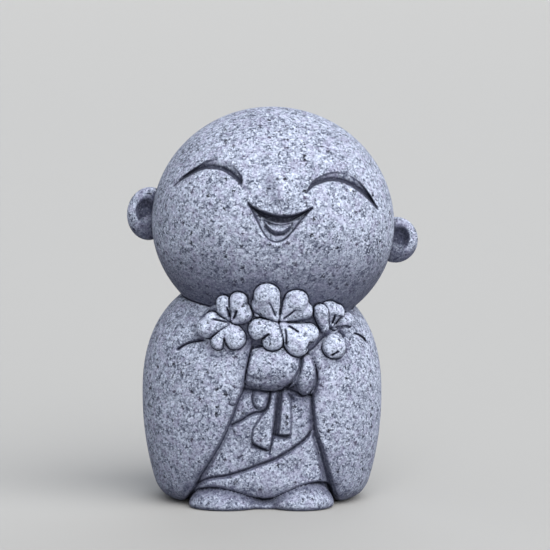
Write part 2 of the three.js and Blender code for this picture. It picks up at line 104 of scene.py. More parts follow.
def ellipsoid(x, y, z, half):
    a, b, c = half
    k = np.sqrt((x / a) ** 2 + (y / b) ** 2 + (z / c) ** 2)
    slope = np.sqrt((x / a**2) ** 2 + (y / b**2) ** 2 + (z / c**2) ** 2)
    return k * (k - 1) / np.maximum(slope, 1e-6)


PLAN_POWER = 2.3  # 2 would be an ellipse, and more is fuller at the corners


def plan_size(x, y, half):
    return (np.abs(x / half[0]) ** PLAN_POWER + np.abs(y / half[1]) ** PLAN_POWER) ** (1 / PLAN_POWER)


def egg(x, y, z, half, above, below, top_power):
    level = np.abs(z) / np.where(z > 0, above, below)
    power = np.where(z > 0, top_power, 2.0)
    k = (plan_size(x, y, half) ** power + level**power) ** (1 / power)
    return np.sqrt(x * x + y * y + z * z) * (1 - 1 / np.maximum(k, 1e-6))


# %% [markdown]
# ## The two great eggs
# The whole figure is two eggs: a robe that is widest at the belly, and a head nearly as wide that
# leans a little to one side. Their sizes are those of the casting in the frame.

# %% Body and head
BODY_HALF = (22.9, 17.8)
BELLY_HEIGHT = 20
SHOULDER_RISE = 23.6
BODY_HEIGHT = BELLY_HEIGHT + SHOULDER_RISE
HEM_DROP = 37
SHOULDER_POWER = 2.4
HEAD_HALF = (23.1, 19.8)
CROWN_RISE = 22.2
CHIN_DROP = 20.9
CROWN_POWER = 2.0
HEAD_MIDDLE = (2.1, -1, 52.8)
HEAD_LEAN = math.radians(6.1)


def body_egg(x, y, z):
    return egg(x, y, z - BELLY_HEIGHT, BODY_HALF, SHOULDER_RISE, HEM_DROP, SHOULDER_POWER)


def to_head(x, y, z):
    dx, dz = x - HEAD_MIDDLE[0], z - HEAD_MIDDLE[2]
    c, s = math.cos(HEAD_LEAN), math.sin(HEAD_LEAN)
    return dx * c - dz * s, y - HEAD_MIDDLE[1], dx * s + dz * c


def head_egg(u, v, w):
    return egg(u, v, w, HEAD_HALF, CROWN_RISE, CHIN_DROP, CROWN_POWER)


def facing(y, half_depth):
    """0 at the sides of an egg and 1 over its front, where the relief is laid on."""
    return smooth(-0.06 * half_depth, -0.28 * half_depth, y)


# %% [markdown]
# ## Drawing the carving
# The robe's front and the face are low relief, so each is drawn on a sheet first, as a carver
# chalks a design on the block. A sheet is a fine grid of heights in millimetres. Lines and areas
# are drawn on it through a few named places, and the sheet is then laid over the egg from the front.

# %% A sheet
SHEET_STEP = 0.1


class Sheet:
    """A grid of heights over a rectangle, in millimetres, and how much dark wash and painted shade lies
    on it.
    """

    def __init__(self, low, high):
        self.low = low
        spans = [np.arange(a, b, SHEET_STEP) for a, b in zip(low, high)]
        self.across, self.up = np.meshgrid(*spans, indexing="ij")
        self.height = np.zeros_like(self.across)
        self.wash_and_painted_light = np.zeros_like(self.across)

    def at(self, across, up, layer="height"):
        i = np.clip((across - self.low[0]) / SHEET_STEP, 0, self.height.shape[0] - 1.001)
        j = np.clip((up - self.low[1]) / SHEET_STEP, 0, self.height.shape[1] - 1.001)
        i0, j0 = i.astype(int), j.astype(int)
        s, t = i - i0, j - j0
        h = getattr(self, layer)
        near = h[i0, j0] * (1 - s) + h[i0 + 1, j0] * s
        far = h[i0, j0 + 1] * (1 - s) + h[i0 + 1, j0 + 1] * s
        return near * (1 - t) + far * t

# %% Lines
STEPS_BETWEEN = 8
CUT_REACH = 4


def through(places):
    """A smooth line through a few places."""
    p = np.array(places, float)
    p = np.vstack([2 * p[0] - p[1], p, 2 * p[-1] - p[-2]])
    t = np.linspace(0, 1, STEPS_BETWEEN, endpoint=False)[:, None]
    runs = []
    for a, b, c, d in zip(p, p[1:], p[2:], p[3:]):
        run = 2 * b + (c - a) * t + (2 * a - 5 * b + 4 * c - d) * t**2
        runs.append((run + (3 * b - a - 3 * c + d) * t**3) / 2)
    return np.vstack(runs + [p[-2:-1]])


def near_line(line, across, up):
    """Distance to a line, how far along it the nearest place lies, and which side it is on."""
    gap = np.full(across.shape, np.inf)
    along = np.zeros(across.shape)
    side = np.zeros(across.shape)
    for i, (a, b) in enumerate(zip(line, line[1:])):
        d = b - a
        t = np.clip(((across - a[0]) * d[0] + (up - a[1]) * d[1]) / max(d @ d, 1e-9), 0, 1)
        p, q = across - a[0] - t * d[0], up - a[1] - t * d[1]
        here = np.hypot(p, q)
        closer = here < gap
        gap = np.where(closer, here, gap)
        along = np.where(closer, (i + t) / (len(line) - 1), along)
        side = np.where(closer, np.sign(d[0] * q - d[1] * p), side)
    return gap, along, side


def window(sheet, line, reach):
    """The part of a sheet round a line."""
    low, high = line.min(0) - reach, line.max(0) + reach
    first = [int(max(0, (a - b) / SHEET_STEP)) for a, b in zip(low, sheet.low)]
    last = [int(max(0, (a - b) / SHEET_STEP)) + 2 for a, b in zip(high, sheet.low)]
    return tuple(slice(a, b) for a, b in zip(first, last))


def cut(sheet, places, depth, half_width, widths=(1, 1), shoulder=0.3, lap=0.0, fade=0.06, wash_and_painted_light=1.0):
    """A chisel line. Its shoulders dip a little, and a lap lifts the cloth on its right-hand side."""
    line = through(places)
    part = window(sheet, line, CUT_REACH)
    gap, along, side = near_line(line, sheet.across[part], sheet.up[part])
    ends = smooth(0, fade, along) * smooth(1, 1 - fade, along) if fade else 1.0
    width = half_width * (widths[0] + (widths[1] - widths[0]) * along)
    dip = depth * (bell((gap / width) ** 1.5) + shoulder * bell(gap / (3.5 * width + 0.3)))
    rise = lap * smooth(0.1, 0.5, np.where(side < 0, gap, 0)) * np.exp(-gap / 2.6)
    sheet.height[part] += (rise - dip) * (0.15 + 0.85 * ends)
    # Each line is darkened with the dark wash and with painted shade in the cut.
    stain_and_painted_light = wash_and_painted_light * bell((gap / (0.45 * width + 0.06)) ** 1.5) * (0.4 + 0.6 * ends)
    sheet.wash_and_painted_light[part] = np.maximum(sheet.wash_and_painted_light[part], stain_and_painted_light)

# %% Areas
def inside(outline, across, up):
    """Distance to a closed outline, positive inside it."""
    ring = np.vstack([outline, outline[:1]])
    gap, _, _ = near_line(ring, across, up)
    crossings = np.zeros(across.shape, int)
    for a, b in zip(ring, ring[1:]):
        if a[1] == b[1]:
            continue
        spans = (a[1] > up) != (b[1] > up)
        crossings += spans & (across < a[0] + (up - a[1]) * (b[0] - a[0]) / (b[1] - a[1]))
    return np.where(crossings % 2 == 1, gap, -gap)


# %% [markdown]
# ## The robe
# Two wide sleeves come down the sides and end in a long edge each. Between them hangs the front of
# the robe, wrapped over to one side, with a knotted sash, its two ends, one long fold and a hem
# that lifts over the feet. The front lies lower than the sleeves, and each cloth edge stands up
# against the one it covers.

# %% The robe's lines
robe = Sheet((-26, -2), (26, 46))

LEFT_SLEEVE = [
    (-1.3, 34), (-1.6, 31.1), (-2.4, 27.2), (-3.2, 23.3), (-4.5, 20.3), (-5.5, 17.4), (-7.2, 13.5),
    (-9.1, 10), (-11.25, 6.4), (-12.5, 3.8), (-14.7, 0.1), (-15.6, -1.6),
]
RIGHT_SLEEVE = [
    (7, 34), (7.6, 31), (8.6, 29.3), (9.7, 27.6), (10.3, 25.2), (10, 23.1), (9.3, 21.6), (9.5, 18.7),
    (9.8, 15.5), (10.2, 13.8), (11, 11.2), (12, 7.2), (13, 3.5), (13.8, 0.5), (14.4, -1.6),
]
PANEL_RECESS = 1.3
SLEEVE_ROLL = 0.4
FOREARM_SWELL = 0.5
FOREARMS = ((-11.5, 27), (16.5, 26.2))


def crossing(places, up):
    """Where a line that runs downwards crosses a height."""
    line = through(places)[::-1]
    return np.interp(up, line[:, 1], line[:, 0])


left_edge, right_edge = crossing(LEFT_SLEEVE, robe.up), crossing(RIGHT_SLEEVE, robe.up)
within_front = np.minimum(robe.across - left_edge, right_edge - robe.across)
under_blossoms = smooth(34, 30, robe.up)
front_depth = PANEL_RECESS * (0.6 + 0.4 * smooth(0, BELLY_HEIGHT, robe.up))
robe.height -= front_depth * smooth(-0.1, 0.6, within_front) * under_blossoms
sleeve_roll = np.exp(-np.maximum(-within_front, 0) / 1.3) * smooth(0.3, -0.1, within_front)
robe.height -= SLEEVE_ROLL * sleeve_roll * under_blossoms

for middle in FOREARMS:
    swell = bell((robe.across - middle[0]) / 7) * bell((robe.up - middle[1]) / 5.5)
    robe.height += FOREARM_SWELL * swell
print("front of the robe lies back by", round(float(-robe.height.min()), 2), "mm")

# %% Sleeves, wrap, fold and hem
cut(robe, LEFT_SLEEVE, 1.0, 0.28, widths=(1, 1.5), fade=0)
cut(robe, RIGHT_SLEEVE[:7], 0.7, 0.25, fade=0, wash_and_painted_light=0.85)
cut(robe, RIGHT_SLEEVE[6:], 1.3, 0.4, widths=(0.8, 2.1), fade=0)

WRAP = [
    (-5.9, 16), (-4.9, 16.6), (-3.7, 17.2), (-2.6, 18), (-1.3, 18.6), (-0.1, 18.75), (0.9, 19.4),
    (1.4, 20.8), (1.7, 23.2),
]
cut(robe, WRAP, 0.6, 0.2, lap=0.4, fade=0.03)
LONG_FOLD = [
    (-12.5, 4.2), (-10.6, 5.6), (-8.8, 6.15), (-6.85, 6.5), (-3.7, 7.45), (-0.6, 8.65), (2.6, 9.85),
    (5.7, 11.7), (7.9, 13.3), (9.5, 15.2),
]
cut(robe, LONG_FOLD, 0.7, 0.22, lap=0.55, fade=0.03)
HEM = [
    (-13.7, 1.8), (-13.1, 2.5), (-11.8, 3.7), (-10.2, 4.2), (-8.5, 4.3), (-6.2, 3.85), (-4.3, 3.3),
    (-2.2, 2.6), (0.5, 2.15), (2.4, 2.45), (4, 3.1), (6, 4), (7.8, 4.7), (9.4, 5.1), (10.8, 5.2),
    (11.8, 4.95), (12.8, 4.2),
]
HEM_FLARE = 0.8
UNDER_HEM = 1.4  # how far the robe steps back below the hem
robe.height += HEM_FLARE * smooth(9, 4, robe.up) * smooth(0, 1.5, within_front)
below_hem = np.interp(robe.across, *np.array(HEM).T) - robe.up
between_sleeves = smooth(-0.2, 0.4, within_front)
robe.height -= (HEM_FLARE + UNDER_HEM) * smooth(-0.05, 0.35, below_hem) * between_sleeves
cut(robe, HEM, 0.3, 0.2, widths=(1.3, 0.9), shoulder=0, fade=0.02)
hem_shade = smooth(-0.1, 0.1, below_hem) * smooth(0.9, 0.4, below_hem)
robe.wash_and_painted_light = np.maximum(robe.wash_and_painted_light, hem_shade * between_sleeves)

LEFT_ELBOW = [(-15.9, 29.8), (-14.9, 30.6), (-13.8, 31.2), (-12.6, 31.6), (-10.5, 32)]
RIGHT_ELBOW = [(17.3, 32.7), (18.2, 32.3), (19.1, 31.6), (19.7, 30.8)]
TICKS = [[(-4.6, 9.6), (-3.9, 10.3), (-3.5, 10.5)], [(-6.2, 20.4), (-5.5, 20.1), (-4.8, 20.2)]]
cut(robe, LEFT_ELBOW, 0.8, 0.22)
cut(robe, RIGHT_ELBOW, 0.6, 0.18)
for tick in TICKS:
    cut(robe, tick, 0.35, 0.15, shoulder=0.1)
print("robe sheet, mm:", round(float(robe.height.min()), 2), "to", round(float(robe.height.max()), 2))

# %% [markdown]
# ## Sash, knot and ribbon ends
# The sash is a soft roll of cloth under the blossoms, tied in a knot at the viewer's right. A small
# tuck hangs under the roll, and its two flat ends fall side by side with a deep gap between them.
# The ends are areas with square edges, so they are drawn as outlines rather than as lines.

# %% Ribbon ends
RIBBONS = {
    "left": [
        (1.75, 23.6), (3.0, 23.6), (2.65, 21), (2.2, 16), (1.75, 12.8), (1.35, 11.5), (0, 11.9),
        (-1.5, 12.6), (-1.9, 13.9), (-1.75, 15), (-1.1, 16.6), (-0.2, 17.9), (0.9, 19.2), (1.5, 21),
    ],
    "right": [
        (3.9, 23.6), (5.3, 23.6), (5.5, 20), (5.55, 17), (5.45, 14.5), (4.3, 14.35), (3.1, 14.4),
        (3.4, 18), (3.7, 21),
    ],
}
RIBBON_THICKNESS = 0.75
# Lines cut round the two ends, which make them stand out.
BETWEEN_RIBBONS = [(3.4, 23.2), (3.05, 20.5), (2.7, 17), (2.45, 14.2)]
RIGHT_END = [(2.3, 14.25), (3.4, 14.15), (4.4, 14), (4.95, 14.15)]
LEFT_END = [(-1.55, 12.5), (-0.4, 12), (0.9, 11.45)]
BESIDE_LEFT_END = [(2.35, 16), (2.0, 13.6), (1.6, 11.6), (1.35, 10.7)]
for outline in RIBBONS.values():
    within = inside(np.array(outline), robe.across, robe.up)
    robe.height += RIBBON_THICKNESS * smooth(-0.12, 0.3, within) * smooth(26, 24, robe.up)
    # Each end gets a dark outline: wash and painted shade along its edge.
    robe.wash_and_painted_light = np.maximum(robe.wash_and_painted_light, 0.75 * bell((within + 0.12) / 0.22))
cut(robe, BETWEEN_RIBBONS, 0.8, 0.32, widths=(1.1, 0.7), fade=0.02, wash_and_painted_light=0.85)
cut(robe, RIGHT_END, 0.8, 0.32, fade=0)
cut(robe, LEFT_END, 0.8, 0.34, widths=(1.2, 0.5), fade=0)
cut(robe, BESIDE_LEFT_END, 0.4, 0.16, shoulder=0.1, fade=0.02)

# %% Sash, knot and tuck
TUCK = [
    (-1.6, 24), (-1.75, 21.6), (-1.55, 20), (-0.9, 19.1), (-0.1, 18.9), (0.8, 19.5), (1.3, 20.9),
    (1.6, 24),
]
TUCK_THICKNESS = 0.45
robe.height += TUCK_THICKNESS * smooth(-0.1, 0.9, inside(np.array(TUCK), robe.across, robe.up))
cut(robe, [(-1.65, 22.6), (-1.8, 21.2), (-1.5, 20), (-0.9, 19.3)], 0.4, 0.18, fade=0)
UNDER_SASH = [(-3.3, 22.95), (-1, 22.75), (2, 22.75), (4.4, 23.1), (5.6, 23.6)]
cut(robe, UNDER_SASH, 0.9, 0.45, fade=0)
cut(robe, [(4.2, 23.2), (5.6, 22.7), (7, 22.1), (8.9, 21.7)], 0.9, 0.4, fade=0)
cut(robe, [(5.0, 22.2), (5.4, 21.6), (5.7, 21.1)], 0.8, 0.36, fade=0)

cloth = Sheet((-6, 18), (14, 34))
KNOT_EDGE = [(7.3, 30), (7.35, 28.2), (7.0, 26.6), (6.2, 25.2), (5.3, 24.1), (4.3, 23.3)]
# The knot's edge and the sash's soft folds are darkened with wash and painted shade.
cut(cloth, KNOT_EDGE, 0.6, 0.3, fade=0, wash_and_painted_light=0.6)
cut(cloth, [(-3, 25.6), (-1, 25.1), (1.5, 25), (3.6, 25.4)], 0.12, 0.5, wash_and_painted_light=0.15)
cut(cloth, [(9.0, 24.6), (8.8, 23.4), (8.4, 22.6)], 0.2, 0.2, wash_and_painted_light=0.5)

# Soft volumes: the middle as seen from the front, the half sizes, and how deep they sit.
SASH = ((1.9, 26.9), (6.9, 2.7, 4.2), 0.55)
KNOT = ((8.0, 25.9), (2.1, 2.1, 4.0), 0.45)


def front_of(volume, x, z):
    """How far forward a volume reaches at a place, seen from the front."""
    low, high = -2.0 * BODY_HALF[1], 0.0
    for _ in range(40):
        middle = (low + high) / 2
        if volume(np.float64(x), np.float64(middle), np.float64(z)) > 0:
            low = middle
        else:
            high = middle
    return high


def roll(place, half, sunk):
    x, z = place
    return (x, front_of(body_egg, x, z) + sunk * half[1], z), half


rolls = [roll(*r) for r in (SASH, KNOT)]
# The two feet and the low bridge of stone between them: the middle and the half sizes.
FEET = [
    ((-6.8, -11.75, -0.3), (7.2, 5.6, 5.1)), ((0.5, -10.3, -0.3), (6, 5.2, 2.6)),
    ((7.4, -11.75, -0.3), (6.4, 5.6, 5.9)),
]

# %% [markdown]
# ## The face
# Closed laughing eyes, round cheeks, a soft swelling for the nose and an open mouth with the tongue
# showing. Each eye is a crescent: its lower edge is sharp, where the cheek pushes up, and the hollow
# fades out above it. The mouth is deepest under the upper lip.

# %% Cheeks and nose
face = Sheet((-24, -8), (24, 16))
CHEEK_SWELL = 0.95
NOSE_SWELL = 1.0
across, up = face.across / HEAD_HALF[0], face.up / CROWN_RISE
face.height += CHEEK_SWELL * bell((np.abs(across) - 0.5) / 0.34) * bell((up - 0.14) / 0.27)
face.height += NOSE_SWELL * bell((across - 0.01) / 0.2) * bell((up - 0.32) / 0.14)

# %% Eyes
EYES = {
    "left": (
        [
            (-19.4, 5.8), (-18, 7.3), (-16.2, 8.7), (-14.7, 9.6), (-13.2, 10.2), (-11.6, 10.35),
            (-10.1, 10.1), (-8.8, 9.5), (-7.7, 8.8), (-6.9, 8.1), (-6.6, 7.6),
        ],
        [
            (-6.6, 7.6), (-6.6, 9.2), (-7.5, 10.4), (-9.3, 11.7), (-11.3, 12.2), (-13.4, 11.6),
            (-15.4, 10.1), (-17.6, 8.1), (-19.4, 5.8),
        ],
    ),
    "right": (
        [
            (5.2, 7.7), (6.2, 8.9), (7.4, 9.7), (8.85, 10.3), (10.2, 10.5), (11.5, 10.4), (12.9, 10),
            (14.3, 9.4), (16.1, 8.3), (17.8, 6.9), (19.3, 5.5),
        ],
        [
            (19.3, 5.5), (17.6, 8), (16, 9.8), (14.1, 11.3), (12, 12.1), (9.8, 12), (7.6, 11.1),
            (6, 9.7), (5.2, 7.7),
        ],
    ),
}
EYE_DEPTH = 1.15
UNDER_LID_SWELL = 0.22
for lid, brow in EYES.values():
    lid_line = through(lid)
    crescent = np.vstack([lid_line, through(brow)])
    within = inside(crescent, face.across, face.up)
    gap, along, _ = near_line(lid_line, face.across, face.up)
    ramp = np.clip(1 - gap / 2.1, 0, 1) ** 1.25
    ends = smooth(0, 0.25, along) * smooth(1, 0.85, along)
    face.height -= EYE_DEPTH * ramp * smooth(-0.05, 0.25, within) * (0.35 + 0.65 * ends)
    cut(face, lid, 0.3, 0.3, shoulder=0, fade=0.02)
    # The hollow is darkened with wash and painted shade, growing towards the viewer's right end of each
    # lid, the end that lies in shade.
    in_hollow = 0.8 * np.clip(1.4 - gap / (0.9 + 0.7 * along), 0, 1)
    along_lid = np.clip(1.5 - gap / (0.4 + 0.6 * along), 0, 0.95)
    eye_wash_and_shade = smooth(-0.1, 0.15, within) * np.maximum(in_hollow, along_lid)
    face.wash_and_painted_light = np.maximum(face.wash_and_painted_light, eye_wash_and_shade)
    below = face.up < np.interp(face.across, *lid_line.T)
    proud = smooth(0.12, -0.3, within) * np.exp(-gap / 2.2) * below
    face.height += UNDER_LID_SWELL * proud * ends

# %% Mouth and tongue
UPPER_LIP = [
    (-5.3, 5.1), (-4.2, 4.4), (-2.6, 3.8), (-1, 3.4), (0.5, 3.25), (2, 3.3), (3.5, 3.65), (5.3, 4.5),
    (7, 5.45),
]
LOWER_LIP = [
    (7, 5.45), (6, 4.3), (4.7, 2.4), (3.8, 1), (2.8, -0.4), (1.9, -1.25), (0.8, -1.65), (-0.3, -1.45),
    (-1.2, -0.8), (-2.1, 0.3), (-3.2, 2), (-4.2, 3.6), (-5.3, 5.1),
]
SLOT_EDGE = [
    (7, 5.45), (5.6, 4.1), (4.4, 3), (2.95, 2.1), (1.8, 1.75), (0.6, 1.65), (-0.7, 1.85), (-1.9, 2.25),
    (-3.05, 2.9), (-4.2, 3.9), (-5.3, 5.1),
]
TONGUE = [
    (-1.75, 1.9), (-0.6, 1.5), (0.7, 1.3), (2, 1.45), (3.2, 1.9), (2.9, 0.9), (2.3, 0.1), (1.4, -0.3),
    (0.5, -0.35), (-0.5, 0), (-1.2, 0.7), (-1.75, 1.9),
]

mouth = inside(np.vstack([through(UPPER_LIP), through(LOWER_LIP)]), face.across, face.up)
slot = inside(np.vstack([through(UPPER_LIP), through(SLOT_EDGE)]), face.across, face.up)
tongue = inside(through(TONGUE), face.across, face.up)
face.height -= 1.15 * smooth(-0.15, 0.5, mouth)
face.height -= 1.3 * smooth(-0.1, 0.4, slot)
face.height += 0.75 * smooth(-0.1, 0.7, tongue)
face.height -= 0.45 * bell(tongue / 0.28) * (mouth > 0.1)
face.height += 0.15 * bell((mouth + 0.5) / 0.5)
cut(face, LOWER_LIP, 0.3, 0.32, shoulder=0, fade=0.02)
# Wash and painted shadow: the slot under the upper lip is darkest, with a dark line round the tongue
# and a lighter darkening inside the mouth.
face.wash_and_painted_light = np.maximum(face.wash_and_painted_light, 0.85 * smooth(-0.05, 0.2, slot))
face.wash_and_painted_light = np.maximum(face.wash_and_painted_light, 0.9 * bell((tongue + 0.1) / 0.25) * (mouth > 0.1))
face.wash_and_painted_light = np.maximum(face.wash_and_painted_light, 0.35 * smooth(0, 0.3, mouth) * smooth(0.3, -0.2, tongue))
print("deepest cut in the face:", round(float(-face.height.min()), 2), "mm")

# %% [markdown]
# ## The ears
# Each ear is a round lobe with a thick rim round a dimple. The one on the viewer's left is larger.

# %% Ears
EAR_REACH = 4.3
EAR_HALF_THICKNESS = 2.7
EAR_HALF_HEIGHTS = {-1: 5.1, 1: 4.4}


def ear(u, v, w, side):
    du = u - side * (HEAD_HALF[0] + 0.5)
    dv = v - 0.45 * EAR_HALF_THICKNESS
    dw = w + 0.75
    lobe = ellipsoid(du, dv, dw, (EAR_REACH, EAR_HALF_THICKNESS, EAR_HALF_HEIGHTS[side]))
    dw = dw - 0.15 * EAR_HALF_HEIGHTS[side]
    dimple = ellipsoid(du - side * 0.7, dv + EAR_HALF_THICKNESS, dw, (1.75, 1.9, 2.2))
    # The dimple is darkened with wash and painted shade.
    return -join(-lobe, dimple, 0.7), 0.7 * smooth(0.9, 0.1, dimple)


# %% [markdown]
# ## The blossoms
# Three blossoms lie side by side against the chest and the chin. Petals are puffy and wider at
# the tip, so each is made of round cones laid flat: a small ball at the blossom's middle, a large
# one at the tip and the hull between them. Two such lobes side by side give a petal its heart
# shape. Short radial creases run out from the middle. A wall of stone behind the petals fills the
# hollow of the neck, because a mould can't reach in there.

# %% The blossoms' plan
PETAL_THICKNESS = 1.7
# A petal is one or two lobes: across, up and radius of each tip in mm. A lift, of a blossom's middle
# or of a petal's tips, is a share of the petal thickness.
BLOSSOMS = {
    "left": {
        "at": (-5.6, 35.55),
        "lift": 0.4,
        "petals": [
            ([(-10.2, 34.5, 1.95), (-9.3, 36.1, 1.4)], 0.4),
            ([(-7.1, 39.25, 1.4), (-7.0, 38.0, 1.35)], 0.2),
            ([(-4.3, 39.75, 1.7), (-3.45, 37.3, 1.8)], 0.25),
            ([(-8.05, 31.9, 1.4), (-5.0, 32.7, 2.1)], 0.3),
        ],
        "creases": [
            [(-6.2, 35.6), (-9.3, 36.3)], [(-5.3, 36.2), (-4.6, 38.1)], [(-7.05, 31.0), (-7.0, 32.9)],
            [(-5.9, 36.4), (-6.5, 38.6)],
        ],
    },
    "right": {
        "at": (13.0, 34.3),
        "lift": 0.2,
        "petals": [
            ([(15.7, 35.2, 1.65)], -0.8),
            ([(12.4, 37.9, 1.75), (13.9, 37.1, 1.65)], 0.2),
        ],
        "creases": [
            [(13.1, 34.9), (13.7, 36.9)], [(13.5, 34.6), (15.0, 36.5)], [(13.6, 34.3), (16.4, 34.1)],
            [(12.9, 29.3), (14.4, 30.3)],
        ],
    },
    "middle": {
        "at": (3.1, 35.85),
        "lift": 0.7,
        "petals": [
            ([(-0.4, 34.4, 2.1), (2.05, 32.6, 2.2)], 0.4),
            ([(6.65, 31.55, 2.3), (8.85, 33.5, 1.85)], 0.3),
            ([(6.4, 39.8, 2.3), (7.9, 37.7, 1.7)], 0.2),
            ([(1.05, 40.8, 2.45), (-0.1, 39.0, 1.8)], 0.35),
        ],
        "creases": [
            [(2.6, 36.8), (1.4, 39.7)], [(3.9, 36.3), (6.3, 38.2)], [(4.4, 35.65), (9.0, 35.65)],
            [(4.9, 35.1), (7.0, 33.8)], [(4.4, 34.6), (4.6, 31.4)], [(8.3, 30.8), (9.2, 32.0)],
            [(-0.7, 32.1), (1.5, 33.8)], [(3.3, 36.8), (3.9, 41.0)],
        ],
    },
}
# Parts that don't grow from a blossom's middle: from and to places, radius and lift.
SIDE_PETALS = [((11.9, 33.6), (11.05, 37.5), 1.45, 0.7), ((13.2, 33.2), (13.45, 30.9), 2.2, 0.4)]
LEAVES = [((-1.5, 38.4), (-0.7, 37.3), 0.85, 0.0), ((0.9, 36.3), (1.2, 37.2), 0.35, 0.5)]
# Lines cut into the stone behind the petals, where the sleeve ends under them.
GAPS = [
    [(7.0, 29.2), (9.3, 30.4), (10.9, 31.9), (12.4, 33.2)], [(14.2, 33.4), (14.9, 32.9), (15.5, 31.9)],
]

# %% What the petals rest on
WALL_HALF = (0.83 * BODY_HALF[0], 0.9 * BODY_HALF[1])
BOUQUET_MIDDLE = (0.14 * BODY_HALF[0], 0.828 * BODY_HEIGHT)
BOUQUET_HALF = (13.6, 5.3)


def wall(x, y, z):
    """An upright shell with the plan of the chest, cut to an oval round the bouquet."""
    shell = np.hypot(x, y) * (1 - 1 / np.maximum(plan_size(x, y, WALL_HALF), 1e-6))
    aside, above = x - BOUQUET_MIDDLE[0], z - BOUQUET_MIDDLE[1]
    oval = np.hypot(aside / BOUQUET_HALF[0], above / BOUQUET_HALF[1])
    return -join(-shell, -BOUQUET_HALF[1] * (oval - 1), PETAL_THICKNESS)


def rest_front(x, z):
    """What a petal rests on: the chest, the chin or the wall, whichever stands out most."""
    chin = front_of(lambda a, b, c: head_egg(*to_head(a, b, c)), x, z)
    behind = WALL_HALF[1] * max(0, 1 - abs(x / WALL_HALF[0]) ** PLAN_POWER) ** (1 / PLAN_POWER)
    return min(front_of(body_egg, x, z), chin, -behind)

# %% [markdown]
# ## From plan to petals
# A lobe is measured along its own axis: how far along it, aside of it and out from the stone a
# point lies. It is a round cone, pressed flat towards the stone and filled in behind, so that no
# gap is left under a petal. The creases are drawn on a sheet of their own, like the robe's lines.

# %% A lobe
def make_lobe(start, end, radius, lift):
    """A lobe from a place on the stone to a place in front of it; start is [across, back, up]."""
    tip = np.array([end[0], rest_front(*end) - (0.3 + lift) * PETAL_THICKNESS, end[1]])
    axis = tip - start
    length = np.linalg.norm(axis)
    axis /= length
    aside = np.cross(axis, (0, -1, 0))
    aside /= np.linalg.norm(aside)
    return {
        "from": start, "axis": axis, "aside": aside, "out": np.cross(aside, axis), "length": length,
        "radius": radius,
    }


def lobe(p, x, y, z):
    """A round cone that is flattened towards the stone and filled in behind."""
    dx, dy, dz = x - p["from"][0], y - p["from"][1], z - p["from"][2]
    along = dx * p["axis"][0] + dy * p["axis"][1] + dz * p["axis"][2]
    aside = dx * p["aside"][0] + dy * p["aside"][1] + dz * p["aside"][2]
    out = dx * p["out"][0] + dy * p["out"][1] + dz * p["out"][2]
    flat = min(1.0, PETAL_THICKNESS / p["radius"])
    out = np.where(out > 0, out, np.minimum(out + 2 * PETAL_THICKNESS, 0))
    beside = np.hypot(aside, out / flat)
    r1, r2 = min(1.4, 0.62 * p["radius"]), p["radius"]
    span = p["length"] - r1
    b = (r1 - r2) / span
    a = math.sqrt(1 - b * b)
    s = along - r1
    k = a * s - b * beside
    cone = beside * a + s * b - r1
    at_tip = np.hypot(beside, s - span) - r2
    return np.where(k < 0, np.hypot(beside, s) - r1, np.where(k > a * span, at_tip, cone))

# %% Petals and creases
petals = []
crease_sheet, gap_sheet = Sheet((-14, 26), (22, 46)), Sheet((-14, 26), (22, 46))
for gap in GAPS:
    cut(gap_sheet, gap, 0.6, 0.35, fade=0.15)
for blossom in BLOSSOMS.values():
    x, z = blossom["at"]
    middle = np.array([x, rest_front(x, z) - blossom["lift"] * PETAL_THICKNESS, z])
    for lobes, lift in blossom["petals"]:
        petals.append([make_lobe(middle, (across, up), radius, lift) for across, up, radius in lobes])
    for start, end in blossom["creases"]:
        bend = (0.5 * (start[0] + end[0]) + 0.08, 0.5 * (start[1] + end[1]))
        cut(crease_sheet, [start, bend, end], 0.65, 0.17, widths=(1.3, 0.8), fade=0.12, wash_and_painted_light=0.85)
for (x, z), end, half_width, lift in SIDE_PETALS + LEAVES:
    start = np.array([x, rest_front(x, z) - (0.3 + lift) * PETAL_THICKNESS, z])
    petals.append([make_lobe(start, end, half_width, lift)])
print(len(petals), "petals")

# %% [markdown]
# ## The whole stone
# Everything is put together in one function. The carving only counts near the surface, so each
# detail is worked out only for the points that lie near it.

# %% Layers
NECK_FILLET = 0.4
CARVING_FILLET = 0.22
PETAL_FILLET = 0.1
LOBE_FILLET = 0.5
UNDERSIDE_ROUNDING = 4
FEET_ROUNDING = 1.4
FEET_FILLET = 0.9
SEAM_GROOVE = 0.3
OUTSIDE = 9.0  # a distance that is far enough not to count
WIPED_AND_LIT = -0.3  # petals are paler: they stand out, are wiped cleaner and get painted light


def lay(under, over, fillet, seam=0.0, width=0.2):
    """Join two volumes, each its distances and its wash and painted light, with a groove along their
    seam that is darkened with wash and painted shade.
    """
    (a, wash_and_light_a), (b, wash_and_light_b) = under, over
    line = seam * bell((a - b) / width)
    wash_and_painted_light = np.where(a < b, wash_and_light_a, wash_and_light_b)
    return join(a, b, fillet) + SEAM_GROOVE * line, wash_and_painted_light + line * (1 - wash_and_painted_light)

# %% Robe, head and bouquet
def robe_front(x, y, z, egg_distance):
    front = facing(y, BODY_HALF[1])
    carved = egg_distance - front * robe.at(x, z), front * robe.at(x, z, "wash_and_painted_light")
    under_sleeve = 0.97 * (crossing(LEFT_SLEEVE, z) - 0.15 - x)
    for (cx, cy, cz), half in rolls:
        dy = y - cy
        roll_here = ellipsoid(x - cx, dy - np.clip(dy, 0, half[1]), z - cz, half) - cloth.at(x, z)
        roll_here = -join(-roll_here, -under_sleeve, 0.5), cloth.at(x, z, "wash_and_painted_light")
        carved = lay(carved, roll_here, CARVING_FILLET, 0.5)
    return carved


